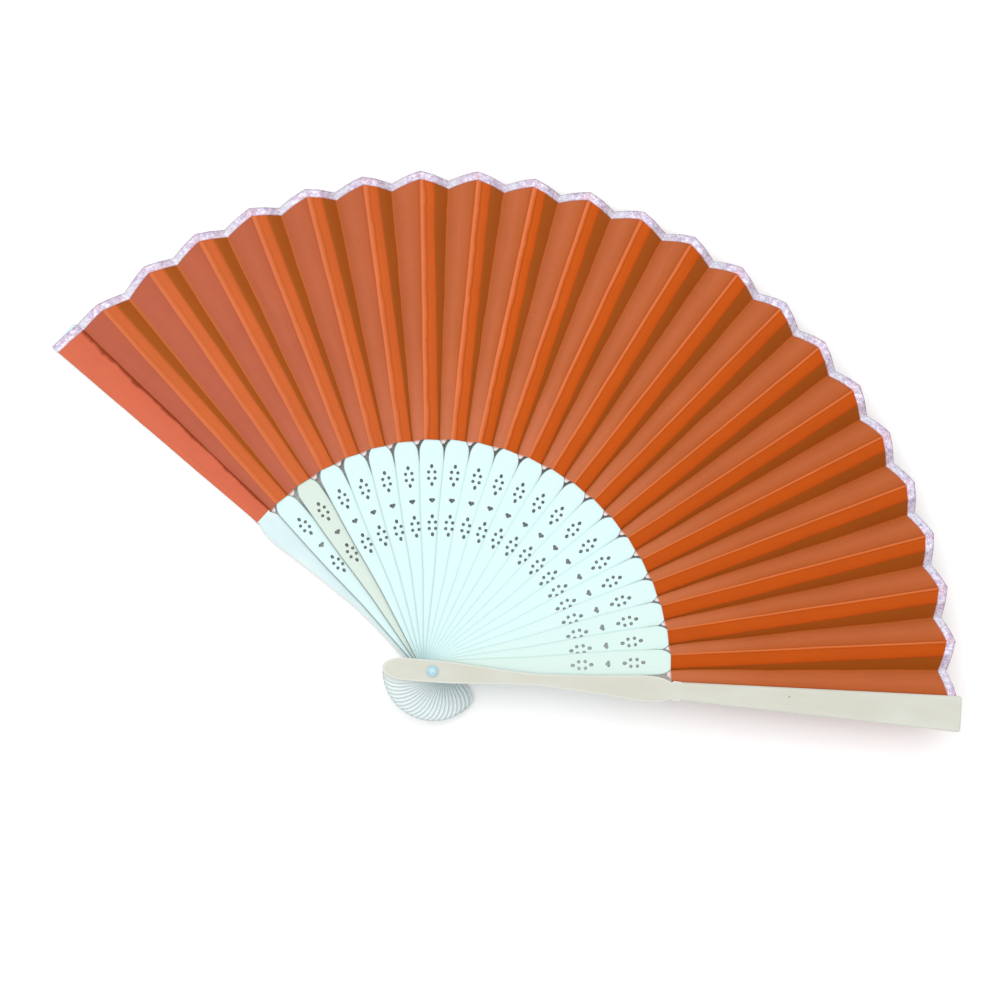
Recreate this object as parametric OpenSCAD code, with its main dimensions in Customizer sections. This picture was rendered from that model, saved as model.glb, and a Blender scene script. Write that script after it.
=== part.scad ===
// Folding fan: 21 perforated ribs between two guards on one rivet, with a pleated cloth leaf.
// The rivet is the Z axis, the back guard's outer face is z = 0 and the fan lies open.

/* [Sticks] */
// Distance from the rivet to the end of a guard
guard_reach = 210; // [202:1:240]
// Distance from the rivet to the end of the tails
tail_reach = 20; // [17:0.5:23]
// Half width of the sticks at the rivet
tail_half = 4.4; // [3.8:0.1:5]
// Thickness of a guard
guard_t = 2.2; // [1.8:0.1:3]
// Half width of a guard at its shoulder, below the leaf
shoulder_half = 5.15; // [4.6:0.05:6]
// Half width of a guard where it starts to widen, beside the leaf's inner edge
flare_half = 3.65; // [3:0.05:4.5]
// Half width of a guard at its end
tip_half = 7.1; // [5.5:0.1:8.5]
// Width of the sloped edge round a guard's outer face
guard_bevel = 0.5; // [0.3:0.05:0.7]
// Thickness of a rib's blade
rib_t = 0.8; // [0.7:0.05:1.2]
// Free height between two sticks
stick_gap = 0.1; // [0.06:0.01:0.2]
// Half width of a rib's blade at its widest
blade_half = 5.05; // [4.4:0.05:5.3]
// Half width of a rib's blade at its waist
waist_half = 4; // [3.5:0.1:4.3]
// Distance from the point of a blade to the leaf's inner edge
point_short = 0.2; // [0.1:0.05:1]
// Length of the rounded point of a blade, up to where it is cut off square
point_length = 5.7; // [3.6:0.1:6]
// Length that the rounded point would have if it were not cut off
point_oval = 6.5; // [6.1:0.1:9]

/* [Slips] */
// Distance from the leaf's outer edge back to the end of a slip
slip_short = 4.6; // [1:0.1:20]
// Thickness of a slip
slip_t = 0.4; // [0.3:0.05:0.45]
// Half width of a slip at the blade
slip_half_in = 2.8; // [2.3:0.1:3.1]
// Half width of a slip at its end
slip_half_out = 2.3; // [1.8:0.1:2.7]

/* [Opening] */
// Angle between the first two ribs, next to the back guard, when the fan is open
wide_step = 6.98; // [5.5:0.02:7.4]
// Angle between the last two ribs, next to the front guard, when the fan is open
narrow_step = 5.98; // [5:0.02:7]
// Angle between the back guard and the first rib when the fan is open
back_step = 6.1; // [5:0.1:7]
// Angle between the last rib and the front guard when the fan is open
front_step = 7; // [6:0.1:7.5]
// Direction of the front guard, from +X
front_angle = -4.6; // [-20:0.1:20]

/* [Perforations] */
// Distance from the point of a blade back to the inner flower
flower_in_back = 36; // [34:0.2:40]
// Distance from the point of a blade back to the heart
heart_back = 25.7; // [24:0.1:28]
// Distance from the point of a blade back to the outer flower
flower_out_back = 15.3; // [14:0.1:17]
// Width of a petal hole
petal_w = 1.05; // [0.8:0.05:1.2]
// Length of a petal hole
petal_l = 1.35; // [1.25:0.05:1.6]
// Width of the heart hole
heart_w = 2.3; // [1.8:0.1:2.8]

/* [Leaf] */
// Radius of the leaf's inner edge
leaf_in = 95.8; // [88:0.2:104]
// Distance from the end of a guard back to the leaf's outer edge
leaf_short = 3.4; // [1:0.2:20]
// Thickness of the leaf
leaf_t = 0.3; // [0.15:0.05:0.35]
// Width of the ribbon that binds the outer edge
ribbon_w = 3.6; // [2:0.1:6]
// Thickness of the ribbon
ribbon_t = 0.1; // [0.05:0.05:0.1]

/* [Rivet] */
// Diameter of the rivet pin
pin_d = 2.4; // [2:0.1:3]
// Free space round the pin in a stick, on the radius
pin_gap = 0.05; // [0.03:0.01:0.1]
// Diameter of the domed cap
cap_d = 4.7; // [4.2:0.1:6]
// Height of the domed cap
cap_h = 1.6; // [1.2:0.1:2.2]
// Diameter of the rear washer
washer_d = 6; // [4.5:0.1:6.4]
// Thickness of the rear washer
washer_t = 0.6; // [0.4:0.1:0.8]

/* [Hidden] */

rib_count = 21;
step_change = (wide_step - narrow_step) / (rib_count - 2);
layer = rib_t + stick_gap;
first_rib_z = guard_t + stick_gap;
front_guard_z = first_rib_z + rib_count * layer;
stack_top = front_guard_z + guard_t;
bore_d = pin_d + 2 * pin_gap;
leaf_out = guard_reach - leaf_short;
slip_reach = leaf_out - slip_short;
blade_reach = leaf_in - point_short;
blade_run = blade_reach - point_length;
flower_in_at = blade_reach - flower_in_back;
heart_at = blade_reach - heart_back;
flower_out_at = blade_reach - flower_out_back;
back_angle = front_angle + front_step + back_step + (rib_count - 1) * (wide_step + narrow_step) / 2;

// The leaf lies on the slip, so a guard's inner face is cut back by the same amount
seat_at = leaf_in - point_short / 2;
seat_depth = stick_gap + rib_t - slip_t;
leaf_lap = 0.6;
ribbon_half = 3.4;

// Outline of the tails: half an ellipse behind the rivet
tail_centre = 11.9;
tail_points = 20;

// Stations along a blade, from the rivet to where its point begins: [distance, half width]
blade_share = blade_run / 89.9;
blade_stations = [
    [0, tail_half - 0.2],
    [20 * blade_share, waist_half + 0.1],
    [40 * blade_share, waist_half],
    [51 * blade_share, (waist_half + blade_half) / 2 - 0.15],
    [61 * blade_share, blade_half - 0.25],
    [72 * blade_share, blade_half - 0.05],
    [blade_run, blade_half]
];

// Stations along a guard: waist, shoulder, notch and then a straight flare to the square end
notch_at = leaf_in - 0.8;
flare_at = notch_at + 4.5;
guard_share = notch_at / 95;
guard_stations = [
    [0, tail_half],
    [8 * guard_share, tail_half - 0.2],
    [17 * guard_share, tail_half - 0.8],
    [26 * guard_share, 2.95],
    [34 * guard_share, 2.5],
    [43 * guard_share, 2.25],
    [51 * guard_share, 2.75],
    [60 * guard_share, 3.2],
    [68 * guard_share, shoulder_half - 1.45],
    [76 * guard_share, shoulder_half - 0.7],
    [83 * guard_share, shoulder_half - 0.05],
    [notch_at - 7.5, shoulder_half],
    [notch_at - 3.5, shoulder_half - 0.5],
    [notch_at - 1.5, 3.9],
    [notch_at, 3.2],
    [notch_at + 1, 3.9],
    [notch_at + 2.4, 3.8],
    [flare_at, flare_half],
    [guard_reach - 0.8, tip_half],
    [guard_reach, tip_half - 0.8]
];

// The steps narrow evenly from the back guard's side to the front guard's
function rib_angle(k) =
    back_angle - back_step - (k - 1) * wide_step + step_change * (k - 1) * (k - 2) / 2;
function step_after(k) =
    k == 0 ? back_step : k == rib_count ? front_step : wide_step - step_change * (k - 1);
function rib_z(k) = first_rib_z + (k - 1) * layer;

// Half an ellipse from the left side round the end of the tail, seen from above
function tail_outline() = [
    for (i = [0:tail_points])
        let (a = 90 + 180 * i / tail_points)
            [-tail_centre + (tail_reach - tail_centre) * cos(a), tail_half * sin(a)]
];

// One side of a stick out along its stations, and the other side back along them
function right_side(stations) = [for (p = stations) [p[0], -p[1]]];
function left_side(stations) = [for (i = [len(stations) - 1:-1:0]) stations[i]];
function guard_outline() = concat(
    tail_outline(),
    right_side(guard_stations),
    left_side(guard_stations)
);

// The point of a blade is half an ellipse that is cut off square where the slip comes out of it
point_cut = acos(point_length / point_oval);
point_points = 9;
function point_spot(i, side) =
    let (a = 90 - (90 - point_cut) * i / point_points)
        [blade_run + point_oval * cos(a), side * blade_half * sin(a)];
function point_outline() = concat(
    [for (i = [1:point_points]) point_spot(i, -1)],
    [for (i = [point_points:-1:1]) point_spot(i, 1)]
);
function blade_outline() = concat(
    tail_outline(),
    right_side(blade_stations),
    point_outline(),
    left_side(blade_stations)
);

// Petal holes lie on the rib's centre line and at four corners round the flower's middle
petal_far = 3.7;
petal_near = 1.3;

// Half width of a slip at a distance from the rivet
function slip_half(s) =
    slip_half_in + (slip_half_out - slip_half_in) * (s - leaf_in) / (slip_reach - leaf_in);

module petal(lateral, along) {
    turn = atan2(lateral, along);
    straight = petal_l - petal_w;
    translate([along, lateral])
        rotate(turn) {
            square([straight, petal_w], center = true);
            for (side = [-1, 1])
                translate([side * straight / 2, 0])
                    circle(d = petal_w, $fn = 24);
        }
}

module flower(at) {
    translate([at, 0]) {
        for (end = [-1, 1])
            petal(0, end * petal_far);
        for (side = [-1, 1])
            for (end = [-1, 1])
                petal(side * petal_near, end * petal_near);
    }
}

// Two lobes outward and a point towards the rivet
module heart(at) {
    lobe = heart_w * 0.27;
    translate([at, 0]) {
        for (side = [-1, 1])
            translate([0.25, side * (heart_w / 2 - lobe)])
                circle(r = lobe, $fn = 24);
        polygon([[-1, 0], [0.05, heart_w / 2 - 0.03], [0.3, 0], [0.05, 0.03 - heart_w / 2]]);
    }
}

module slip_shape(from) {
    polygon([
        [from, -slip_half(from)],
        [slip_reach, -slip_half_out],
        [slip_reach, slip_half_out],
        [from, slip_half(from)]
    ]);
}

// A rib lying along +X with its underside at z = 0; its slip is thinner than its blade
module rib_solid() {
    difference() {
        union() {
            linear_extrude(rib_t)
                polygon(blade_outline());
            linear_extrude(slip_t)
                slip_shape(blade_run);
        }
        translate([0, 0, -1])
            cylinder(d = bore_d, h = rib_t + 2, $fn = 48);
        translate([0, 0, -1])
            linear_extrude(rib_t + 2) {
                flower(flower_in_at);
                heart(heart_at);
                flower(flower_out_at);
            }
    }
}

// Cuts a slope along an edge of the face z = 0, which runs from p to q with the guard on its left
module edge_cut(p, q) {
    run = q - p;
    spare = 0.5;
    block = 3;
    translate([p[0], p[1], 0])
        rotate(atan2(run[1], run[0]))
            rotate([135, 0, 0])
                translate([-spare, -block / 2, -guard_bevel / sqrt(2)])
                    cube([norm(run) + 2 * spare, block, block]);
}

// A guard lying along +X: inner face at z = guard_t, sloped edges round the outer face at z = 0
module guard_solid(bore) {
    difference() {
        linear_extrude(guard_t)
            polygon(guard_outline());
        translate([0, 0, -1])
            cylinder(d = bore, h = guard_t + 2, $fn = 48);
        translate([seat_at, -2 * tip_half, guard_t - seat_depth + stick_gap])
            cube([guard_reach, 4 * tip_half, guard_t]);
        edge_cut([flare_at, -flare_half], [guard_reach, -tip_half]);
        edge_cut([guard_reach, -tip_half], [guard_reach, tip_half]);
        edge_cut([guard_reach, tip_half], [flare_at, flare_half]);
    }
}

// One flat panel of the leaf on the stick along +X, reaching as far as the next stick's slip
module leaf_panel(half_in, half_out, step) {
    reach = leaf_out + 10;
    linear_extrude(leaf_t)
        intersection() {
            difference() {
                circle(r = leaf_out, $fn = 360);
                circle(r = leaf_in, $fn = 360);
            }
            polygon([
                [leaf_in - 10, half_in],
                [reach, half_out],
                [reach * cos(step), leaf_lap - reach * sin(step)],
                [(leaf_in - 10) * cos(step), leaf_lap - (leaf_in - 10) * sin(step)]
            ]);
        }
}

module ribbon_strip() {
    linear_extrude(ribbon_t)
        intersection() {
            difference() {
                circle(r = leaf_out - 0.2, $fn = 360);
                circle(r = leaf_out - 0.2 - ribbon_w, $fn = 360);
            }
            translate([leaf_in, -ribbon_half])
                square([leaf_out, 2 * ribbon_half]);
        }
}

module place(angle, z) {
    rotate(angle)
        translate([0, 0, z])
            children();
}

module back_guard() {
    color([0.86, 0.95, 0.94])
        difference() {
            place(back_angle, 0)
                guard_solid(pin_d);
            translate([0, 0, -1])
                cylinder(d = washer_d, h = washer_t + 1, $fn = 64);
        }
}

module front_guard() {
    color([0.86, 0.87, 0.80])
        place(front_angle, stack_top)
            mirror([0, 0, 1])
                guard_solid(bore_d);
}

module rib(k) {
    color([0.88, 0.98, 0.97])
        place(rib_angle(k), rib_z(k))
            rib_solid();
}

// Pleat 0 starts on the back guard, the others on their rib's slip
module leaf_pleat(k) {
    color(k % 2 == 0 ? [0.85, 0.42, 0.18] : [0.72, 0.36, 0.14])
        if (k == 0)
            place(back_angle, first_rib_z - layer + slip_t)
                leaf_panel(flare_half - 0.25, tip_half - 0.9, step_after(k));
        else
            place(rib_angle(k), rib_z(k) + slip_t)
                leaf_panel(slip_half_in, slip_half_out, step_after(k));
}

module leaf_end() {
    color([0.72, 0.36, 0.14])
        place(front_angle, front_guard_z + seat_depth - stick_gap - leaf_t)
            linear_extrude(leaf_t)
                intersection() {
                    difference() {
                        circle(r = leaf_out, $fn = 360);
                        circle(r = leaf_in, $fn = 360);
                    }
                    translate([leaf_in - 2, -3.2])
                        square([leaf_out, 6.4]);
                }
}

module ribbon_back_end() {
    color([0.84, 0.80, 0.90])
        place(back_angle, first_rib_z - layer + slip_t + leaf_t)
            ribbon_strip();
}

module ribbon_front_end() {
    color([0.84, 0.80, 0.90])
        place(front_angle, front_guard_z + seat_depth - stick_gap - leaf_t - ribbon_t)
            ribbon_strip();
}

module rivet_pin() {
    color("silver")
        translate([0, 0, 0.1])
            cylinder(d = pin_d, h = stack_top + stick_gap, $fn = 48);
}

// A spherical cap with a flat rim
module rivet_cap() {
    rim = 0.4;
    dome_h = cap_h - rim;
    ball = (pow(cap_d / 2, 2) + pow(dome_h, 2)) / (2 * dome_h);
    color([0.80, 0.92, 0.95])
        translate([0, 0, stack_top + stick_gap])
            difference() {
                union() {
                    cylinder(d = cap_d, h = rim, $fn = 64);
                    intersection() {
                        translate([0, 0, cap_h - ball])
                            sphere(r = ball, $fn = 96);
                        cylinder(d = cap_d, h = cap_h + 1, $fn = 64);
                    }
                }
                translate([0, 0, -1])
                    cylinder(d = pin_d, h = 1.1, $fn = 48);
            }
}

module rear_washer() {
    color("silver")
        difference() {
            cylinder(d = washer_d, h = washer_t, $fn = 64);
            translate([0, 0, 0.1])
                cylinder(d = pin_d, h = washer_t, $fn = 48);
        }
}

function two_digits(k) = str(k < 10 ? "0" : "", k);

back_guard();
front_guard();
rivet_pin();
rivet_cap();
rear_washer();
for (k = [1:rib_count])
    rib(k);
for (k = [0:rib_count])
    leaf_pleat(k);
leaf_end();
ribbon_back_end();
ribbon_front_end();
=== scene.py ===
import math

import bpy
from mathutils import Matrix, Vector


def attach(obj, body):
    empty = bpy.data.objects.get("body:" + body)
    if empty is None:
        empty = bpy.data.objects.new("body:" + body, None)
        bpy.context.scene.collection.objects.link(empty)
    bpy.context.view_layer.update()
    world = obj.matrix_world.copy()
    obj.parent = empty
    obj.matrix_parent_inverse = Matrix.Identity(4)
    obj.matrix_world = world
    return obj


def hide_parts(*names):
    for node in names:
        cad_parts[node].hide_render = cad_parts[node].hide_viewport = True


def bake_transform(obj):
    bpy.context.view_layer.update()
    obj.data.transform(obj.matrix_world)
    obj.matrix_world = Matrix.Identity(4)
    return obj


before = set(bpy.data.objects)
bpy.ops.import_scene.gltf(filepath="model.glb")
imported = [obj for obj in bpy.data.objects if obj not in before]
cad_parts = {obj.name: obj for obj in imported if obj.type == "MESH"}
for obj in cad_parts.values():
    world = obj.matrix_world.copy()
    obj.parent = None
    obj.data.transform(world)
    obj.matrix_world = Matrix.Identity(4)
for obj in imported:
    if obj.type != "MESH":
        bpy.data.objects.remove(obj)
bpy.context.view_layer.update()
mm = 0.001
print("frame loaded")

# Where the sticks lie, as in the CAD: angles in degrees, lengths in millimetres
sticks = {
    "ribs": 21,
    "backStep": 6.1,
    "wideStep": 6.98,
    "narrowStep": 5.98,
    "frontStep": 7.0,
    "frontAngle": -4.6,
    "firstRibZ": 2.3,
    "layer": 0.9,
    "slipTop": 0.4,
}


def stepAfter(k):
    if k == 0:
        return sticks["backStep"]
    if k == sticks["ribs"]:
        return sticks["frontStep"]
    change = (sticks["wideStep"] - sticks["narrowStep"]) / (sticks["ribs"] - 2)
    return sticks["wideStep"] - change * (k - 1)


def stickAngle(k):
    return sticks["frontAngle"] + sum(stepAfter(i) for i in range(k, sticks["ribs"] + 1))


def slipZ(k):
    return sticks["firstRibZ"] + (k - 1) * sticks["layer"] + sticks["slipTop"]


# Camera straight above the open fan, tipped a little towards the leaf
camera = {"place": (0.0312, -0.0070, 0.7206), "tipX": 6.172, "tipY": 0.358, "lens": 62.914}


def addCamera():
    data = bpy.data.cameras.new("camera")
    data.lens = camera["lens"]
    data.sensor_width = 36
    data.clip_start = 0.01
    cam = bpy.data.objects.new("camera", data)
    bpy.context.scene.collection.objects.link(cam)
    cam.location = camera["place"]
    tip = Matrix.Rotation(math.radians(camera["tipX"]), 3, "X")
    tip = tip @ Matrix.Rotation(math.radians(camera["tipY"]), 3, "Y")
    cam.rotation_euler = tip.to_euler()
    bpy.context.scene.camera = cam


addCamera()

studio = {
    "floorHalf": 3.0,
    "floorZ": -0.0002,
    "floorColor": (0.95, 0.95, 0.95),
    "floorGlow": 0.04,
    "skyStrength": 0.62,
    "overhead": {"place": (0.0, 0.25, 1.6), "size": 2.2, "power": 25.0},
    "side": {"place": (-1.3, 0.5, 0.9), "size": 1.0, "power": 1.6},
    "aim": (0.03, 0.08, 0),
}


def newMaterial(name):
    mat = bpy.data.materials.new(name)
    mat.use_nodes = True
    tree = mat.node_tree
    return mat, tree, tree.nodes["Principled BSDF"]


def addAreaLight(name, facts):
    data = bpy.data.lights.new(name, "AREA")
    data.shape = "SQUARE"
    data.size = facts["size"]
    data.energy = facts["power"]
    light = bpy.data.objects.new(name, data)
    bpy.context.scene.collection.objects.link(light)
    light.location = facts["place"]
    aim = Vector(studio["aim"]) - light.location
    light.rotation_euler = aim.to_track_quat("-Z", "Y").to_euler()


def addStudio():
    half = studio["floorHalf"]
    mesh = bpy.data.meshes.new("studioFloor")
    corners = [(-half, -half, 0), (half, -half, 0), (half, half, 0), (-half, half, 0)]
    mesh.from_pydata(corners, [], [(0, 1, 2, 3)])
    floor = bpy.data.objects.new("studioFloor", mesh)
    bpy.context.scene.collection.objects.link(floor)
    floor.location.z = studio["floorZ"]
    mat, tree, bsdf = newMaterial("paleFloor")
    bsdf.inputs["Base Color"].default_value = (*studio["floorColor"], 1)
    bsdf.inputs["Roughness"].default_value = 0.9
    bsdf.inputs["Specular IOR Level"].default_value = 0.1
    # the table top glows a little, which keeps the fan's shadow faint
    bsdf.inputs["Emission Color"].default_value = (1, 1, 1, 1)
    bsdf.inputs["Emission Strength"].default_value = studio["floorGlow"]
    mesh.materials.append(mat)
    world = bpy.data.worlds.new("studioSky")
    world.use_nodes = True
    sky = world.node_tree.nodes["Background"]
    sky.inputs["Color"].default_value = (1, 1, 1, 1)
    sky.inputs["Strength"].default_value = studio["skyStrength"]
    bpy.context.scene.world = world
    addAreaLight("overheadLight", studio["overhead"])
    addAreaLight("sideLight", studio["side"])
    bpy.context.scene.view_settings.view_transform = "Standard"
    bpy.context.scene.view_settings.look = "None"


addStudio()
print("studio ready")


class NodeMaker:
    # short calls for the nodes of one tree; a value is a socket or a number

    def __init__(self, tree):
        self.tree = tree

    def put(self, kind, **settings):
        node = self.tree.nodes.new(kind)
        for key, value in settings.items():
            setattr(node, key, value)
        return node

    def feed(self, socket, value):
        if isinstance(value, bpy.types.NodeSocket):
            self.tree.links.new(value, socket)
        else:
            socket.default_value = value

    def math(self, operation, a, b=0.0, c=0.0, clamp=False):
        node = self.put("ShaderNodeMath", operation=operation, use_clamp=clamp)
        for socket, value in zip(node.inputs, (a, b, c)):
            self.feed(socket, value)
        return node.outputs[0]

    def add(self, *values):
        total = values[0]
        for value in values[1:]:
            total = self.math("ADD", total, value)
        return total

    def sub(self, a, b):
        return self.math("SUBTRACT", a, b)

    def mul(self, *values):
        total = values[0]
        for value in values[1:]:
            total = self.math("MULTIPLY", total, value)
        return total

    def blend(self, a, b, share):
        return self.add(a, self.mul(self.sub(b, a), share))

    def stretch(self, value, low, high):
        # 0 below low, 1 above high
        node = self.put("ShaderNodeMapRange")
        for name, put in (("Value", value), ("From Min", low), ("From Max", high)):
            self.feed(node.inputs[name], put)
        return node.outputs["Result"]

    def vector(self, x, y, z):
        node = self.put("ShaderNodeCombineXYZ")
        for socket, value in zip(node.inputs, (x, y, z)):
            self.feed(socket, value)
        return node.outputs[0]

    def split(self, value):
        node = self.put("ShaderNodeSeparateXYZ")
        self.feed(node.inputs[0], value)
        return node.outputs

    def noise(self, vector, scale, detail=2.0, rough=0.5):
        node = self.put("ShaderNodeTexNoise")
        self.feed(node.inputs["Vector"], vector)
        self.feed(node.inputs["Scale"], scale)
        node.inputs["Detail"].default_value = detail
        node.inputs["Roughness"].default_value = rough
        return node.outputs[0]

    def ramp(self, value, rows):
        # rows are (place, linear colour)
        node = self.put("ShaderNodeValToRGB")
        stops = node.color_ramp.elements
        while len(stops) < len(rows):
            stops.new(0.5)
        for stop, (place, color) in zip(stops, rows):
            stop.position = place
            stop.color = color
        self.feed(node.inputs[0], value)
        return node.outputs[0]

    def away(self, dx, dy):
        return self.math("SQRT", self.add(self.mul(dx, dx), self.mul(dy, dy)))

    def mixColor(self, factor, a, b, how="MIX"):
        node = self.put("ShaderNodeMix", data_type="RGBA", blend_type=how)
        self.feed(node.inputs[0], factor)
        self.feed(node.inputs[6], a)
        self.feed(node.inputs[7], b)
        return node.outputs[2]


def newGroup(name, kind, inputs, outputs):
    # inputs and outputs are (name, socket type, default) rows
    tree = bpy.data.node_groups.new(name, kind)
    for title, socketType, value in inputs:
        made = tree.interface.new_socket(name=title, in_out="INPUT", socket_type=socketType)
        if value is not None:
            made.default_value = value
    for title, socketType in outputs:
        tree.interface.new_socket(name=title, in_out="OUTPUT", socket_type=socketType)
    return tree, tree.nodes.new("NodeGroupInput"), tree.nodes.new("NodeGroupOutput")


number, direction = "NodeSocketFloat", "NodeSocketVector"

# One fold of the cloth runs from the crest over one stick's slip to the crest over the next:
# flat over the slip, steeply down into the valley, then a broad panel up to the next crest.
# Lengths are millimetres; a pair holds the values at the leaf's inner and outer edge.
leaf = {
    "thickness": 0.16,
    "columns": 24,
    "rows": 72,
    "slipShare": 4 / 24,
    "valleyShare": 10 / 24,
    "crestHalf": (2.9, 3.3),
    "slipHalf": (2.8, 2.3),
    "valleyOff": (3.3, 8.4),
    "valleyDepth": (0.5, 3.3),
    "firstDepth": 0.65,
    "depthStep": 0.6,
    "crestLift": 0.3,
    "slipLift": 0.12,
    "nextLift": 1.2,
    "riseCurve": 2.1,
    "innerRadius": (94.8, 95.2),
    "headLift": 0.55,
    "headRow": 0.0139,
    "lining": 1.5,
    "outerRadius": (204.9, 208.4),
    "wobble": 0.55,
    "ripple": 0.22,
    "lastRipple": 2.2,
    "lastFrom": 20,
    "creaseAngle": 24,
}
ribbon = {
    "width": 3.6,
    "rows": 14,
    "clear": 0.17,
    "endClear": 0.1,
    "thickness": 0.06,
    "wrap": 0.3,
    "creaseAngle": 50,
}

# The first fold is glued flat on the back guard, over its full width
backFold = {
    "Left In": 3.55,
    "Left Out": 6.85,
    "Right In": 3.6,
    "Right Out": 6.8,
    "Valley In": 3.9,
    "Valley Out": 7.25,
    "Left Z": 1.93,
    "Right Z": 1.92,
    "Valley Z In": 1.6,
    "Valley Z Out": 1.5,
    "Outer Left": 209.6,
    "Outer Valley": 208.4,
    "Head Lift": 0.0,
}
# The last fold goes in under the front guard's left edge
frontFold = {"Next In": 2.6, "Next Out": 5.9, "Next Z": 21.45}
# The end strip lies flat under the front guard
endStrip = {
    "Left In": 2.6,
    "Left Out": 5.9,
    "Right In": 1.0,
    "Right Out": 2.2,
    "Valley In": 1.6,
    "Valley Out": 3.8,
    "Next In": -3.0,
    "Next Out": -6.2,
    "Left Z": 21.45,
    "Right Z": 21.45,
    "Valley Z In": 21.45,
    "Valley Z Out": 21.45,
    "Next Z": 21.45,
    "Outer Valley": 207.6,
    "Ripple": 0.0,
    "Head Lift": 0.0,
    "Lining": 0.0,
}

foldInputs = [
    ("Pleat", 0.0),
    ("Stick Angle", 0.0),
    ("Step", 0.12),
    ("Left In", 0.0029),
    ("Left Out", 0.0024),
    ("Right In", 0.0028),
    ("Right Out", 0.0023),
    ("Valley In", 0.0033),
    ("Valley Out", 0.0084),
    ("Next In", 0.0029),
    ("Next Out", 0.0024),
    ("Left Z", 0.003),
    ("Right Z", 0.003),
    ("Valley Z In", 0.0025),
    ("Valley Z Out", 0.0),
    ("Next Z", 0.004),
    ("Inner Valley", 0.0942),
    ("Inner Crest", 0.0952),
    ("Outer Valley", 0.2049),
    ("Outer Crest", 0.208),
    ("Outer Left", 0.208),
    ("Head Lift", 0.0005),
    ("Lining", 0.0015),
    ("Wobble", 0.0004),
    ("Ripple", 0.0001),
]


def buildFoldPoint():
    # where a point of one fold lies, from how far it is across and along the fold
    rows = [("Across", number, 0.0), ("Along", number, 0.0)]
    rows += [(title, number, value) for title, value in foldInputs]
    outputs = [("Point", direction), ("Cloth", direction)]
    tree, given, result = newGroup("foldPoint", "GeometryNodeTree", rows, outputs)
    n = NodeMaker(tree)
    g = given.outputs
    u, v = g["Across"], g["Along"]
    slip, valley = leaf["slipShare"], leaf["valleyShare"]
    onSlip = n.stretch(u, 0.0, slip)
    down = n.stretch(u, slip, valley)
    rise = n.stretch(u, valley, 1.0)
    left = n.blend(g["Left In"], g["Left Out"], v)
    right = n.blend(g["Right In"], g["Right Out"], v)
    dip = n.blend(g["Valley In"], g["Valley Out"], v)
    nextLeft = n.blend(g["Next In"], g["Next Out"], v)
    dipZ = n.blend(g["Valley Z In"], g["Valley Z Out"], v)
    # the edges fall evenly from the crest to the valley and rise evenly to the next crest
    fallen = n.add(n.mul(n.add(left, right), onSlip), n.mul(n.sub(dip, right), down))
    fallen = n.math("DIVIDE", fallen, n.add(left, dip))
    inner = n.blend(g["Inner Crest"], g["Inner Valley"], n.sub(fallen, rise))
    # the pale lining hangs out a little between two heads
    shown = n.mul(n.stretch(rise, 0.0, 0.12), n.sub(1.0, n.stretch(rise, 0.45, 0.62)))
    inner = n.sub(inner, n.mul(shown, g["Lining"]))
    outer = n.add(
        g["Outer Valley"],
        n.mul(n.sub(g["Outer Left"], g["Outer Valley"]), n.sub(1.0, fallen)),
        n.mul(n.sub(g["Outer Crest"], g["Outer Valley"]), rise),
    )
    radius = n.blend(inner, outer, v)

    def waver(pleat, shift):
        at = n.vector(n.mul(v, 5.0), n.mul(pleat, 7.31), shift)
        return n.mul(n.sub(n.noise(at, 1.0, 3.0), 0.5), g["Wobble"])

    def turned(distance):
        return n.math("ARCSINE", n.math("DIVIDE", distance, radius))

    nextPleat = n.add(g["Pleat"], 1.0)
    leftTurn = turned(n.add(left, waver(g["Pleat"], 0.0)))
    rightTurn = turned(n.mul(n.add(right, waver(g["Pleat"], 4.0)), -1.0))
    dipTurn = turned(n.mul(n.add(dip, n.mul(waver(g["Pleat"], 9.0), 2.0)), -1.0))
    nextTurn = n.sub(turned(n.add(nextLeft, waver(nextPleat, 0.0))), g["Step"])
    turn = n.add(
        g["Stick Angle"],
        leftTurn,
        n.mul(n.sub(rightTurn, leftTurn), onSlip),
        n.mul(n.sub(dipTurn, rightTurn), down),
        n.mul(n.sub(nextTurn, dipTurn), rise),
    )
    curved = n.sub(1.0, n.math("POWER", n.sub(1.0, rise), leaf["riseCurve"]))
    openness = n.mul(rise, n.sub(1.0, rise), 4.0)
    rough = n.noise(n.vector(n.mul(u, 3.0), n.mul(v, 9.0), n.mul(g["Pleat"], 5.17)), 1.0, 3.0)
    height = n.add(
        g["Left Z"],
        n.mul(n.sub(g["Right Z"], g["Left Z"]), onSlip),
        n.mul(n.sub(dipZ, g["Right Z"]), down),
        n.mul(n.sub(g["Next Z"], dipZ), curved),
        n.mul(n.sub(rough, 0.5), openness, g["Ripple"], 2.0),
        n.mul(n.sub(1.0, n.stretch(v, 0.0, leaf["headRow"])), n.sub(1.0, down), g["Head Lift"]),
    )
    x = n.mul(radius, n.math("COSINE", turn))
    y = n.mul(radius, n.math("SINE", turn))
    tree.links.new(n.vector(x, y, height), result.inputs["Point"])
    sideX, sideZ = n.sub(dip, right), n.sub(g["Right Z"], dipZ)
    side = n.away(sideX, sideZ)
    panel = n.mul(radius, n.sub(dipTurn, nextTurn))
    width = n.add(n.mul(n.add(left, right), onSlip), n.mul(side, down), n.mul(panel, rise))
    tree.links.new(n.vector(width, radius, g["Pleat"]), result.inputs["Cloth"])
    return tree


foldPoint = buildFoldPoint()


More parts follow.
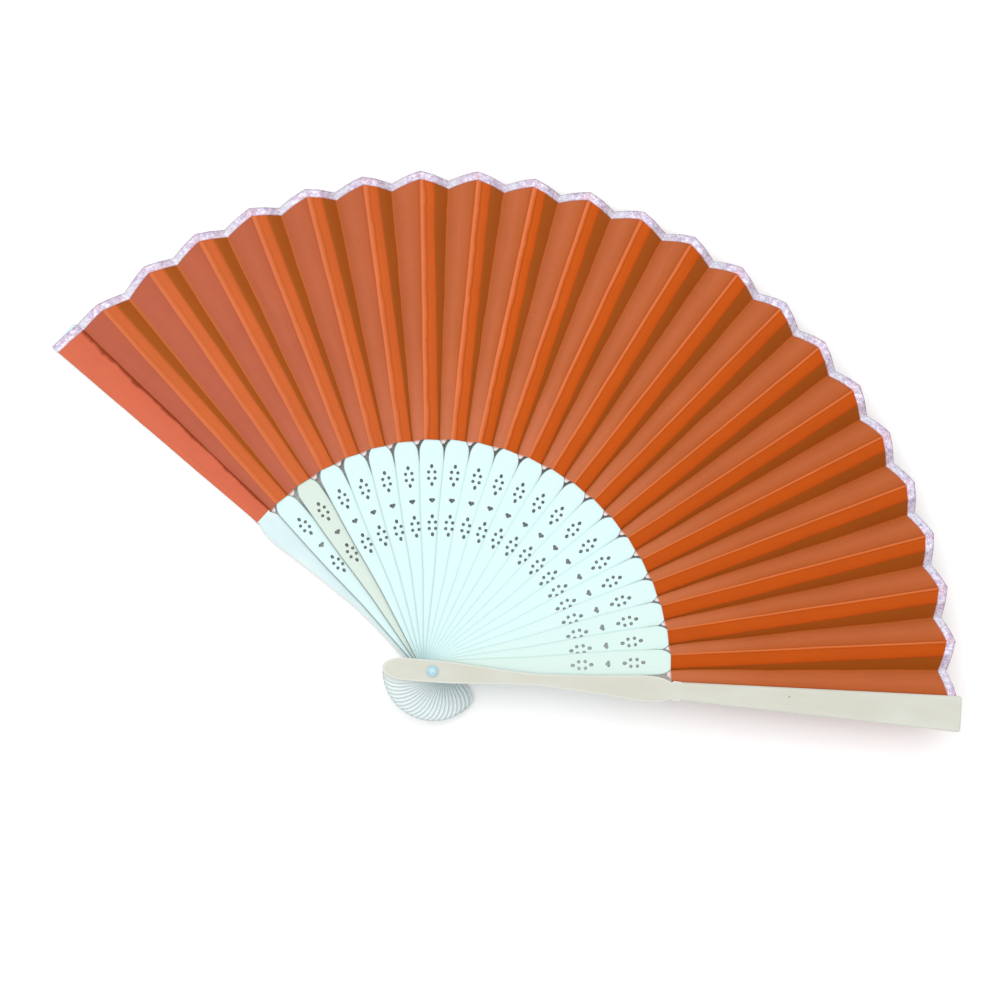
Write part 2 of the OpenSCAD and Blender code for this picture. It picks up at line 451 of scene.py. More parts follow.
def buildSheetTree(name, edge):
    # a grid of columns across the fold, laid out by foldPoint; edge is True for the ribbon
    rows = [("Columns", "NodeSocketInt", 25), ("Rows", "NodeSocketInt", 20)]
    rows += [(title, number, value) for title, value in foldInputs]
    if edge:
        rows += [("Ribbon Width", number, 0.0039), ("Wrap", number, 0.0003)]
        rows += [("Clear", number, 0.00017)]
    rows += [("Finish", "NodeSocketMaterial", None)]
    outputs = [("Geometry", "NodeSocketGeometry")]
    tree, given, result = newGroup(name, "GeometryNodeTree", rows, outputs)
    n = NodeMaker(tree)
    g = given.outputs
    grid = n.put("GeometryNodeMeshGrid")
    grid.inputs["Size X"].default_value = 1.0
    grid.inputs["Size Y"].default_value = 1.0
    tree.links.new(g["Columns"], grid.inputs["Vertices X"])
    tree.links.new(g["Rows"], grid.inputs["Vertices Y"])
    place = n.split(n.put("GeometryNodeInputPosition").outputs[0])
    across, along = n.add(place[0], 0.5), n.add(place[1], 0.5)
    geometry = grid.outputs["Mesh"]

    def store(title, kind, value):
        nonlocal geometry
        node = n.put("GeometryNodeStoreNamedAttribute", data_type=kind, domain="POINT")
        node.inputs["Name"].default_value = title
        tree.links.new(geometry, node.inputs["Geometry"])
        tree.links.new(value, node.inputs["Value"])
        geometry = node.outputs["Geometry"]

    store("across", "FLOAT", across)
    store("along", "FLOAT", along)
    acrossRead = n.put("GeometryNodeInputNamedAttribute", data_type="FLOAT")
    acrossRead.inputs["Name"].default_value = "across"
    alongRead = n.put("GeometryNodeInputNamedAttribute", data_type="FLOAT")
    alongRead.inputs["Name"].default_value = "along"
    across, along = acrossRead.outputs["Attribute"], alongRead.outputs["Attribute"]
    lift = 0.0
    if edge:
        length = n.sub(g["Outer Crest"], g["Inner Crest"])
        fold = n.math("ABSOLUTE", n.sub(1.0, n.mul(along, 2.0)))
        back = n.sub(n.mul(fold, g["Ribbon Width"]), g["Wrap"])
        side = n.math("MINIMUM", n.math("MAXIMUM", n.mul(n.sub(0.5, along), 9.0), -1.0), 1.0)
        lift = n.mul(side, g["Clear"])
        along = n.sub(1.0, n.math("DIVIDE", back, length))
    point = n.put("GeometryNodeGroup", node_tree=foldPoint)
    n.feed(point.inputs["Across"], across)
    n.feed(point.inputs["Along"], along)
    for title, value in foldInputs:
        tree.links.new(g[title], point.inputs[title])
    store("cloth", "FLOAT_VECTOR", point.outputs["Cloth"])
    place = n.split(point.outputs["Point"])
    setPlace = n.put("GeometryNodeSetPosition")
    tree.links.new(geometry, setPlace.inputs["Geometry"])
    tree.links.new(n.vector(place[0], place[1], n.add(place[2], lift)), setPlace.inputs["Position"])
    whole = n.put("GeometryNodeRealizeInstances")
    tree.links.new(setPlace.outputs["Geometry"], whole.inputs["Geometry"])
    setFinish = n.put("GeometryNodeSetMaterial")
    tree.links.new(whole.outputs["Geometry"], setFinish.inputs["Geometry"])
    tree.links.new(g["Finish"], setFinish.inputs["Material"])
    tree.links.new(setFinish.outputs["Geometry"], result.inputs["Geometry"])
    return tree


leafTree = buildSheetTree("leafFoldSheet", False)
ribbonTree = buildSheetTree("ribbonSheet", True)
print("node trees built")


def makeSheet(name, tree, values, thickness, offset, crease):
    # runs the tree on an empty mesh, gives the sheet its thickness and keeps the plain mesh
    obj = bpy.data.objects.new(name, bpy.data.meshes.new(name + "Empty"))
    bpy.context.scene.collection.objects.link(obj)
    maker = obj.modifiers.new("make", "NODES")
    maker.node_group = tree
    for item in tree.interface.items_tree:
        if item.in_out == "INPUT" and item.name in values:
            maker[item.identifier] = values[item.name]
    wall = obj.modifiers.new("wall", "SOLIDIFY")
    wall.thickness = thickness
    wall.offset = offset
    wall.use_rim = True
    bpy.context.view_layer.update()
    made = obj.evaluated_get(bpy.context.evaluated_depsgraph_get())
    mesh = bpy.data.meshes.new_from_object(made)
    mesh.name = name
    obj.modifiers.clear()
    obj.data = mesh
    mesh.shade_smooth()
    mesh.set_sharp_from_angle(angle=math.radians(crease))
    return obj


def foldValues(k):
    # the numbers of fold k, in metres and radians
    inside, outside = leaf["slipHalf"]
    crestIn, crestOut = leaf["crestHalf"]
    z = slipZ(k)
    deepest = min(leaf["valleyDepth"][1], leaf["firstDepth"] + leaf["depthStep"] * max(k - 1, 0))
    values = {
        "Left In": crestIn,
        "Left Out": crestOut,
        "Right In": inside,
        "Right Out": outside,
        "Valley In": leaf["valleyOff"][0],
        "Valley Out": leaf["valleyOff"][1],
        "Next In": crestIn,
        "Next Out": crestOut,
        "Left Z": z + leaf["crestLift"],
        "Right Z": z + leaf["slipLift"],
        "Valley Z In": z - leaf["valleyDepth"][0],
        "Valley Z Out": z - deepest,
        "Next Z": z + leaf["nextLift"],
        "Inner Valley": leaf["innerRadius"][0],
        "Inner Crest": leaf["innerRadius"][1],
        "Outer Valley": leaf["outerRadius"][0],
        "Outer Crest": leaf["outerRadius"][1],
        "Outer Left": leaf["outerRadius"][1],
        "Head Lift": leaf["headLift"],
        "Lining": leaf["lining"],
        "Wobble": leaf["wobble"],
        "Ripple": leaf["ripple"] * (leaf["lastRipple"] if k >= leaf["lastFrom"] else 1.0),
    }
    if k == 0:
        values.update(backFold)
    if k == sticks["ribs"]:
        values.update(frontFold)
    if k > sticks["ribs"]:
        values.update(endStrip)
    values = {key: value * mm for key, value in values.items()}
    values["Pleat"] = float(k)
    values["Stick Angle"] = math.radians(stickAngle(k))
    values["Step"] = math.radians(stepAfter(k)) if k <= sticks["ribs"] else 0.0
    return values


def foldBend(piece):
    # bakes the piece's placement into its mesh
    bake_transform(piece)


# Colours on a fold, from its left crest to the next one: place across the fold, then sRGB
# besides the dye, painted light: a painted highlight along the crest and at the valley, painted
# shade down the steep side into the valley and just before the next crest
leafDyeAndPaintedLight = [
    (0.000, (232, 130, 82)),
    (0.018, (224, 120, 70)),
    (0.042, (210, 100, 44)),
    (0.062, (180, 72, 14)),
    (0.078, (204, 90, 22)),
    (0.145, (200, 84, 14)),
    (0.166, (182, 76, 16)),
    (0.190, (166, 86, 28)),
    (0.385, (164, 80, 24)),
    (0.417, (204, 112, 62)),
    (0.440, (194, 104, 60)),
    (0.700, (196, 106, 66)),
    (0.920, (188, 96, 50)),
    (0.970, (180, 84, 38)),
    (0.988, (206, 106, 60)),
    (1.000, (232, 130, 82)),
]
# the fold on the back guard: painted highlights at the crests and painted shade down the steep
# side, besides the dye
guardFoldDyeAndPaintedLight = [
    (0.000, (218, 112, 82)),
    (0.150, (215, 107, 77)),
    (0.166, (150, 62, 34)),
    (0.417, (140, 60, 36)),
    (0.440, (190, 98, 62)),
    (0.700, (192, 100, 66)),
    (0.930, (186, 94, 50)),
    (0.985, (182, 86, 40)),
    (1.000, (228, 128, 78)),
]


def linear(color):
    # sRGB 0 to 255 as the linear colour that nodes take
    def one(value):
        value /= 255
        return value / 12.92 if value <= 0.04045 else ((value + 0.055) / 1.055) ** 2.4

    return tuple(one(value) for value in color) + (1.0,)


def buildWeave():
    # plain weave: threads cross over and under, with thicker threads here and there
    inputs = [("Cloth", direction, None), ("Thread", number, 0.3), ("Slub", number, 0.5)]
    outputs = [("Height", number), ("Shade", number)]
    tree, given, result = newGroup("plainWeave", "ShaderNodeTree", inputs, outputs)
    n = NodeMaker(tree)
    x, y, z = n.split(given.outputs["Cloth"])
    turns = n.math("DIVIDE", math.pi * 1000, given.outputs["Thread"])
    warp = n.math("SINE", n.mul(x, turns))
    weft = n.math("SINE", n.mul(y, turns))
    over = n.mul(warp, weft)
    tree.links.new(n.add(n.mul(over, 0.5), 0.5), result.inputs["Height"])
    alongThread = n.noise(n.vector(n.mul(x, 900.0), n.mul(y, 26.0), z), 1.0, 3.0, 0.6)
    acrossThread = n.noise(n.vector(n.mul(x, 40.0), n.mul(y, 1100.0), z), 1.0, 2.0, 0.6)
    slub = n.sub(n.add(n.mul(alongThread, 0.65), n.mul(acrossThread, 0.35)), 0.5)
    tree.links.new(n.add(1.0, n.mul(slub, given.outputs["Slub"])), result.inputs["Shade"])
    return tree


weave = buildWeave()


def readAttribute(n, title):
    return n.put("ShaderNodeAttribute", attribute_name=title).outputs


def placeGroup(n, group, **values):
    node = n.put("ShaderNodeGroup", node_tree=group)
    for title, value in values.items():
        n.feed(node.inputs[title.replace("_", " ")], value)
    return node.outputs


def bump(n, bsdf, height, depth, strength):
    node = n.put("ShaderNodeBump")
    node.inputs["Strength"].default_value = strength
    node.inputs["Distance"].default_value = depth
    n.feed(node.inputs["Height"], height)
    n.tree.links.new(node.outputs["Normal"], bsdf.inputs["Normal"])


def scaled(n, color, factor):
    # a colour made lighter or darker by a number that changes over the surface
    node = n.put("ShaderNodeVectorMath", operation="SCALE")
    n.feed(node.inputs[0], color[:3] if isinstance(color, tuple) else color)
    n.feed(node.inputs["Scale"], factor)
    return node.outputs[0]


clothFinish = {
    "thread": 0.28,
    "slub": 0.2,
    "creaseDepth": 0.0002,
    "light": 1.2,
    "crestHighlightEnd": 0.09,
    "warmColor": (212, 126, 92),
    "pinkColor": (188, 98, 78),
    "stripColor": (214, 114, 68),
    "lateShade": (0.88, 0.8, 0.5, 1.0),
    "liningColor": (240, 228, 226),
    "liningEdge": (0.0943, 0.0952),
    "sheenColor": (255, 190, 150),
}


def makeLeafCloth(name, tones):
    mat, tree, bsdf = newMaterial(name)
    n = NodeMaker(tree)
    cloth = readAttribute(n, "cloth")["Vector"]
    across = readAttribute(n, "across")["Fac"]
    along = readAttribute(n, "along")["Fac"]
    x, y, z = n.split(cloth)
    # the crest and valley lines waver a little
    waver = n.noise(n.vector(n.mul(x, 30.0), n.mul(y, 90.0), z), 1.0, 3.0, 0.6)
    onStrip = n.sub(1.0, n.stretch(across, 0.15, 0.2))
    reach = n.blend(0.015, 0.06, onStrip)
    swing = n.mul(n.sub(waver, 0.5), reach, n.stretch(across, 0.0, 0.03))
    # the painted highlight band at the crest is broad on the first folds and a thin line on the
    # last ones
    late = n.stretch(z, 9.0, 16.0)
    squeezed = n.mul(across, n.blend(1.0, 2.6, late))
    squeezed = n.math("MINIMUM", squeezed, n.math("MAXIMUM", across, clothFinish["crestHighlightEnd"]))
    lineAt = n.math("ADD", squeezed, n.mul(swing, n.blend(1.0, 0.4, late)), clamp=True)
    color = n.ramp(lineAt, [(place, linear(tone)) for place, tone in tones])
    nearHeads = n.sub(1.0, n.stretch(along, 0.0, 0.35))
    onPanel = n.stretch(across, 0.42, 0.5)
    warmer = n.mul(nearHeads, onPanel, 0.55)
    color = n.mixColor(warmer, color, linear(clothFinish["warmColor"]))
    # the first folds have pinker panels and lighter crests, the last ones are browner
    pinker = n.mul(n.sub(1.0, n.stretch(z, 1.0, 7.0)), onPanel, 0.7)
    color = n.mixColor(pinker, color, linear(clothFinish["pinkColor"]))
    early = n.mul(n.sub(1.0, n.stretch(z, 2.0, 9.0)), onStrip, n.stretch(z, 0.2, 0.8))
    color = n.mixColor(n.mul(early, 0.6), color, linear(clothFinish["stripColor"]))
    browner = n.mul(late, n.blend(0.8, 0.45, onPanel))
    color = n.mixColor(browner, color, clothFinish["lateShade"], "MULTIPLY")
    # the pale lining shows as a thin rim at the inner edge
    pale = n.mul(n.sub(1.0, n.stretch(y, *clothFinish["liningEdge"])), n.stretch(across, 0.4, 0.43))
    color = n.mixColor(pale, color, linear(clothFinish["liningColor"]))
    # soft creases across the panels: a bump, and painted light and shade that follow it in the
    # colour
    crease = n.noise(n.vector(n.mul(x, 70.0), n.mul(y, 45.0), n.mul(z, 3.7)), 1.0, 5.0, 0.62)
    thread, slub = clothFinish["thread"], clothFinish["slub"]
    threads = placeGroup(n, weave, Cloth=cloth, Thread=thread, Slub=slub)
    low, change = 0.92 / clothFinish["light"], 0.18 / clothFinish["light"]
    tone = n.mul(threads["Shade"], n.add(low, n.mul(crease, change)))
    tree.links.new(scaled(n, color, tone), bsdf.inputs["Base Color"])
    tree.links.new(n.add(0.5, n.mul(crease, 0.2)), bsdf.inputs["Roughness"])
    bsdf.inputs["Specular IOR Level"].default_value = 0.06
    bsdf.inputs["Sheen Weight"].default_value = 0.02
    bsdf.inputs["Sheen Roughness"].default_value = 0.4
    bsdf.inputs["Sheen Tint"].default_value = linear(clothFinish["sheenColor"])
    height = n.add(n.mul(threads["Height"], 0.15), crease)
    bump(n, bsdf, height, clothFinish["creaseDepth"], 0.6)
    return mat


ribbonFinish = {
    "thread": 0.5,
    "slub": 0.3,
    "depth": 0.00006,
    "light": 1.2,
    "darkColor": (192, 176, 206),
    "paleColor": (238, 234, 250),
    "valleyHighlightColor": (240, 242, 252),
    "patchColor": (222, 172, 182),
    "dipShadeColor": (190, 158, 172),
    "sideColor": (190, 122, 122),
    "foldShadeColor": (150, 126, 146),
    "flakes": 2600.0,
}


def makeRibbonSatin():
    mat, tree, bsdf = newMaterial("glitterRibbon")
    n = NodeMaker(tree)
    cloth = readAttribute(n, "cloth")["Vector"]
    across = readAttribute(n, "across")["Fac"]
    along = readAttribute(n, "along")["Fac"]
    x, y, z = n.split(cloth)
    thread, slub = ribbonFinish["thread"], ribbonFinish["slub"]
    threads = placeGroup(n, weave, Cloth=cloth, Thread=thread, Slub=slub)
    mottle = n.noise(n.vector(n.mul(x, 520.0), n.mul(y, 520.0), z), 1.0, 3.0, 0.6)
    patches = n.noise(n.vector(n.mul(x, 200.0), n.mul(y, 200.0), n.mul(z, 2.3)), 1.0, 2.0)
    shadedDipSide = n.mul(n.stretch(across, 0.12, 0.25), n.sub(1.0, n.stretch(across, 0.36, 0.42)))
    middle = n.math("ABSOLUTE", n.sub(across, 0.5))
    valley = n.sub(1.0, n.stretch(middle, 0.05, 0.25))
    crest = n.stretch(middle, 0.36, 0.5)
    tint = {name: linear(value) for name, value in ribbonFinish.items() if name.endswith("Color")}
    shade = n.mixColor(n.stretch(mottle, 0.4, 0.62), tint["darkColor"], tint["paleColor"])
    # painted highlight along the valleys
    shade = n.mixColor(n.mul(valley, 0.6), shade, tint["valleyHighlightColor"])
    patchy = n.mul(n.stretch(patches, 0.45, 0.62), n.blend(0.15, 0.6, crest))
    shade = n.mixColor(patchy, shade, tint["patchColor"])
    # painted shade on the side that dips into the valley
    shade = n.mixColor(n.mul(shadedDipSide, 0.35), shade, tint["dipShadeColor"])
    # the woven edges lie along the inner sides, pinker where the leaf shows through
    edge = n.math("ABSOLUTE", n.sub(n.mul(along, 2.0), 1.0))
    shade = n.mixColor(n.mul(n.stretch(edge, 0.84, 0.97), 0.7), shade, tint["sideColor"])
    # painted shade along the fold at the outer edge
    shadedFold = n.sub(1.0, n.stretch(edge, 0.04, 0.16))
    shade = n.mixColor(n.mul(shadedFold, 0.55), shade, tint["foldShadeColor"])
    tone = n.mul(threads["Shade"], 1 / ribbonFinish["light"])
    tree.links.new(scaled(n, shade, tone), bsdf.inputs["Base Color"])
    flakes = n.put("ShaderNodeTexVoronoi")
    n.feed(flakes.inputs["Vector"], n.vector(x, y, z))
    flakes.inputs["Scale"].default_value = ribbonFinish["flakes"]
    spark = n.stretch(n.split(flakes.outputs["Color"])[0], 0.80, 0.84)
    tree.links.new(n.mul(spark, 0.8), bsdf.inputs["Metallic"])
    tree.links.new(n.blend(0.45, 0.18, spark), bsdf.inputs["Roughness"])
    height = n.add(n.mul(threads["Height"], 0.5), n.mul(n.split(flakes.outputs["Color"])[1], spark))
    bump(n, bsdf, height, ribbonFinish["depth"], 0.8)
    return mat


leafCloth = makeLeafCloth("leafCloth", leafDyeAndPaintedLight)
guardCloth = makeLeafCloth("leafClothOnGuard", guardFoldDyeAndPaintedLight)
ribbonSatin = makeRibbonSatin()
print("cloth finishes ready")


# What the flat cloth measures, in metres. A fold is cut a little wider than the arc that it
# spans in the open fan: a factor and the arc's radius, at its inner and its outer edge
flatCloth = {
    "length": 0.1118,
    "innerEdge": (1.03, 0.0948),
    "outerEdge": (1.12, 0.2066),
    "gluedExtra": 0.003,
    "endStrip": (0.0056, 0.0121),
}


def makeFold(k, foldName, stripName):
    values = foldValues(k)
    values["Finish"] = guardCloth if k == 0 else leafCloth
    values["Columns"] = leaf["columns"] + 1
    values["Rows"] = leaf["rows"] + 1
    thickness = leaf["thickness"] * mm
    fold = makeSheet(foldName, leafTree, values, thickness, 0, leaf["creaseAngle"])
    values["Finish"] = ribbonSatin
    values["Rows"] = ribbon["rows"] + 1
    values["Ribbon Width"] = ribbon["width"] * mm
    values["Wrap"] = ribbon["wrap"] * mm
    values["Clear"] = (ribbon["clear"] if k <= sticks["ribs"] else ribbon["endClear"]) * mm
    thickness = ribbon["thickness"] * mm
    strip = makeSheet(stripName, ribbonTree, values, thickness, 1, ribbon["creaseAngle"])
    return fold, strip


def makeLeaf():
    innerMore, innerRadius = flatCloth["innerEdge"]
    outerMore, outerRadius = flatCloth["outerEdge"]
    for k in range(sticks["ribs"] + 1):
        fold, strip = makeFold(k, f"leafFold_{k:02d}", f"ribbonFold_{k:02d}")
        foldBend(fold)
        foldBend(strip)
        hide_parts(f"leaf_pleat_{k:02d}")
        if k == 0:
            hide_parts("ribbon_back_end")
        step = math.radians(stepAfter(k))
        inner, outer = innerMore * step * innerRadius, outerMore * step * outerRadius
        if k == 0:
            inner, outer = inner + flatCloth["gluedExtra"], outer + flatCloth["gluedExtra"]
    fold, strip = makeFold(sticks["ribs"] + 1, "leafEndStrip", "ribbonEndStrip")
    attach(fold, "front_stick")
    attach(strip, "front_stick")
    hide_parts("leaf_end")
    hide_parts("ribbon_front_end")


makeLeaf()
print("leaf folded")

# Outlines of the sticks, as in the CAD: distance from the rivet and half width, in millimetres
ribShape = {
    "stations": [
        (-11.9, 4.4), (0, 4.2), (20, 4.1), (40, 4.0), (51, 4.375), (61, 4.8), (72, 5.0),
        (89.9, 5.05),
    ],
    "pointStart": 89.9,
    "pointLength": 6.5,
    "flowers": (59.6, 80.3),
    "heart": 69.9,
}
guardShape = {
    "stations": [
        (-11.9, 4.4), (0, 4.4), (8, 4.2), (17, 3.6), (26, 2.95), (34, 2.5), (43, 2.25), (51, 2.75),
        (60, 3.2), (68, 3.7), (76, 4.45), (83, 5.1), (87.5, 5.15), (91.5, 4.65), (93.5, 3.9),
        (95, 3.2), (96, 3.9), (97.4, 3.8), (99.5, 3.65), (209.2, 7.1), (210, 6.3),
    ],
}
tailShape = {"centre": -11.9, "length": 8.1, "half": 4.4}
# Each flower has four petal holes at its corners and two at its ends; the heart has two
# lobes, two slopes and a top. Millimetres from the middle of the flower or the heart
holeShape = {
    "outside": 9.0,
    "petalCorner": 1.3,
    "petalEnd": 3.7,
    "petalStretch": 0.8,
    "lobe": (0.25, 0.53),
    "slopeStart": 1.0,
    "slopeRise": 1.07,
    "slopeLength": 1.46,
    "heartTop": 0.2,
    "round": 0.6,
}


def besideStick(n, given):
    # millimetres from the rivet along the stick, and from its middle line to either side
    x, y, z = n.split(given.outputs["Along Stick"])
    return n.mul(x, 1000.0), n.math("ABSOLUTE", n.mul(y, 1000.0))


def buildStickEdge(name, shape):
    # how far a point of the outer face is from the stick's outline, in millimetres
    inputs = [("Along Stick", direction, None)]
    tree, given, result = newGroup(name, "ShaderNodeTree", inputs, [("Edge", number)])
    n = NodeMaker(tree)
    x, y = besideStick(n, given)
    stations = shape["stations"]
    low, high = stations[0][0], stations[-1][0]
    rows = [((place - low) / (high - low), (half / 10,) * 3 + (1,)) for place, half in stations]
    halfWidth = n.split(n.ramp(n.stretch(x, low, high), rows))[0]
    edge = n.sub(n.mul(halfWidth, 10.0), y)

    def roundEnd(start, length, half):
        along = n.math("DIVIDE", n.sub(x, start), length)
        side = n.math("DIVIDE", y, half)
        return n.mul(n.sub(1.0, n.away(along, side)), half)

    tail = roundEnd(tailShape["centre"], tailShape["length"], tailShape["half"])
    edge = n.blend(edge, tail, n.math("LESS_THAN", x, tailShape["centre"]))
    if "pointStart" in shape:
        point = roundEnd(shape["pointStart"], shape["pointLength"], stations[-1][1])
        edge = n.blend(edge, point, n.math("GREATER_THAN", x, shape["pointStart"]))
    tree.links.new(edge, result.inputs["Edge"])
    return tree


def buildHoleRimShade():
    # painted shade in and round the petal holes and the heart, a dark rim standing in for the
    # shadow seen through them: 1 in the hole, 0 outside
    inputs = [("Along Stick", direction, None), ("Rim", number, 0.12)]
    tree, given, result = newGroup("holeRimShade", "ShaderNodeTree", inputs, [("Rim Shade", number)])
    n = NodeMaker(tree)
    x, y = besideStick(n, given)
    near, corner, radius = holeShape["outside"], holeShape["petalCorner"], holeShape["round"]
    for place in ribShape["flowers"]:
        out = n.math("ABSOLUTE", n.sub(x, place))
        petal = n.away(n.sub(out, corner), n.sub(y, corner))
        past = n.sub(out, holeShape["petalEnd"])
        end = n.away(n.mul(past, holeShape["petalStretch"]), y)
        near = n.math("MINIMUM", near, n.math("MINIMUM", petal, end))
    # the heart is two lobes and a point towards the rivet
    out = n.sub(x, ribShape["heart"])
    lobeX, lobeY = holeShape["lobe"]
    lobe = n.away(n.sub(out, lobeX), n.sub(y, lobeY))
    reach = n.mul(n.add(out, holeShape["slopeStart"]), holeShape["slopeRise"])
    slope = n.math("DIVIDE", n.sub(y, reach), holeShape["slopeLength"])
    body = n.add(n.math("MAXIMUM", slope, n.sub(out, holeShape["heartTop"])), radius)
    near = n.math("MINIMUM", near, n.math("MINIMUM", lobe, body))
    rim = n.add(radius, given.outputs["Rim"])
    rimShade = n.sub(1.0, n.stretch(near, radius, rim))
    tree.links.new(rimShade, result.inputs["Rim Shade"])
    return tree


def buildWoodGrain():
    inputs = [("Along Stick", direction, None), ("Seed", number, 0.0), ("Streaks", number, 0.05)]
    outputs = [("Shade", number), ("Height", number), ("Cloud", number)]
    tree, given, result = newGroup("woodGrain", "ShaderNodeTree", inputs, outputs)
    n = NodeMaker(tree)
    x, y, z = n.split(given.outputs["Along Stick"])
    seed = given.outputs["Seed"]
    drift = n.noise(n.vector(n.mul(x, 18.0), n.mul(y, 60.0), seed), 1.0, 2.0)
    y = n.add(y, n.mul(n.sub(drift, 0.5), 0.0016))

    def streaks(along, across, deep, detail):
        at = n.vector(n.mul(x, along), n.mul(y, across), n.add(seed, n.mul(z, deep)))
        return n.noise(at, 1.0, detail, 0.6)

    wide = streaks(22.0, 900.0, 300.0, 4.0)
    fine = streaks(130.0, 4200.0, 900.0, 3.0)
    both = n.sub(n.add(n.mul(wide, 0.6), n.mul(fine, 0.4)), 0.5)
    tree.links.new(n.add(1.0, n.mul(both, given.outputs["Streaks"], 2.0)), result.inputs["Shade"])
    tree.links.new(n.add(n.mul(wide, 0.3), n.mul(fine, 0.7)), result.inputs["Height"])
    cloud = n.noise(n.vector(n.mul(x, 45.0), n.mul(y, 120.0), seed), 1.0, 2.0)
    tree.links.new(cloud, result.inputs["Cloud"])
    return tree


ribEdge = buildStickEdge("ribEdge", ribShape)
guardEdge = buildStickEdge("guardEdge", guardShape)
holeRimShade = buildHoleRimShade()
woodGrain = buildWoodGrain()


def alongStick(n, angle):
    # Object coordinates turned so that X runs along the stick
    coords = n.put("ShaderNodeTexCoord").outputs
    turn = n.put("ShaderNodeMapping")
    turn.inputs["Rotation"].default_value = (0, 0, math.radians(-angle))
    n.tree.links.new(coords["Object"], turn.inputs["Vector"])
    facing = n.math("ABSOLUTE", n.split(coords["Normal"])[2])
    wall = n.sub(1.0, n.stretch(facing, 0.3, 0.6))
    return turn.outputs[0], wall


ribFinish = {
    "tint": (226, 253, 253),
    "ivoryTint": (224, 240, 229),
    "ivoryRib": 2,
    "warmTint": (224, 247, 240),
    "warmFrom": 17,
    "warmOver": 4,
    "coolColor": (206, 238, 240),
    "tailPaintedLightColor": (244, 254, 255),
    "bladeEdgeShade": ((3, 0.9, 0.5), (8, 0.3, 0.34), (21, 0.12, 0.3)),
    "headEdgeShade": 0.85,
    "tailEdgeShade": 0.45,
    "edgeShadeColor": (96, 104, 98),
    "holeShadeColor": (38, 38, 36),
    "light": 1.24,
}


def ribTint(k):
    if k == ribFinish["ivoryRib"]:
        return ribFinish["ivoryTint"]
    share = max(0.0, (k - ribFinish["warmFrom"]) / ribFinish["warmOver"])
    return tuple(a + (b - a) * share for a, b in zip(ribFinish["tint"], ribFinish["warmTint"]))


def dimmed(color, light):
    # light is how much the lamps brighten a surface, so the colour seen is the one given
    return tuple(value / light for value in linear(color)[:3]) + (1.0,)


def makeRibPaint(k):
    mat, tree, bsdf = newMaterial(f"ribPaint_{k:02d}")
    n = NodeMaker(tree)
    where, wall = alongStick(n, stickAngle(k))
    grain = placeGroup(n, woodGrain, Along_Stick=where, Seed=k * 3.1, Streaks=0.035)
    edge = placeGroup(n, ribEdge, Along_Stick=where)["Edge"]
    rimShade = placeGroup(n, holeRimShade, Along_Stick=where, Rim=0.14)["Rim Shade"]
    x = n.mul(n.split(where)[0], 1000.0)
    light = ribFinish["light"]
    # painted shade along the cut edges and on the cut sides, standing in for the shadows in the
    # gaps between ribs, most at the heads and between the first ribs; each row of the blade list
    # gives the last rib that it is for, how strong the line is and how wide
    rows = ribFinish["bladeEdgeShade"]
    bladeEdgeShade, lineWidth = next((ink, width) for last, ink, width in rows if k <= last)
    strength = n.blend(bladeEdgeShade, ribFinish["headEdgeShade"], n.stretch(x, 84.0, 91.0))
    tail = n.sub(1.0, n.stretch(x, -6.0, 2.0))
    strength = n.blend(strength, ribFinish["tailEdgeShade"], tail)
    line = n.sub(1.0, n.stretch(edge, 0.08, lineWidth))
    edgeShade = n.mul(n.math("MAXIMUM", line, wall), strength)
    color = scaled(n, dimmed(ribTint(k), light), grain["Shade"])
    cool = n.mul(n.sub(1.0, n.stretch(edge, 0.3, 1.6)), 0.1)
    color = n.mixColor(cool, color, dimmed(ribFinish["coolColor"], light))
    # painted light: the tails are painted paler against the shade that the stacked tails throw on
    # each other
    color = n.mixColor(n.mul(tail, 0.8), color, dimmed(ribFinish["tailPaintedLightColor"], light))
    color = n.mixColor(edgeShade, color, dimmed(ribFinish["edgeShadeColor"], light))
    # painted shade in and round the holes
    color = n.mixColor(rimShade, color, dimmed(ribFinish["holeShadeColor"], light))
    tree.links.new(color, bsdf.inputs["Base Color"])
    tree.links.new(n.blend(0.42, 0.6, grain["Cloud"]), bsdf.inputs["Roughness"])
    bsdf.inputs["Specular IOR Level"].default_value = 0.3
    bump(n, bsdf, grain["Height"], 0.00004, 0.5)
    return mat


guardFinish = {
    "backColor": (226, 247, 249),
    "backShade": (204, 231, 235),
    "frontColor": (210, 210, 195),
    "frontPaleAndHighlight": (227, 230, 221),
    "wallShadeColor": (120, 118, 104),
    "speckAt": (0.1418, 0.0014),
    "speckSize": (0.00015, 0.00035),
    "speckColor": (120, 92, 74),
    "light": 1.24,
}


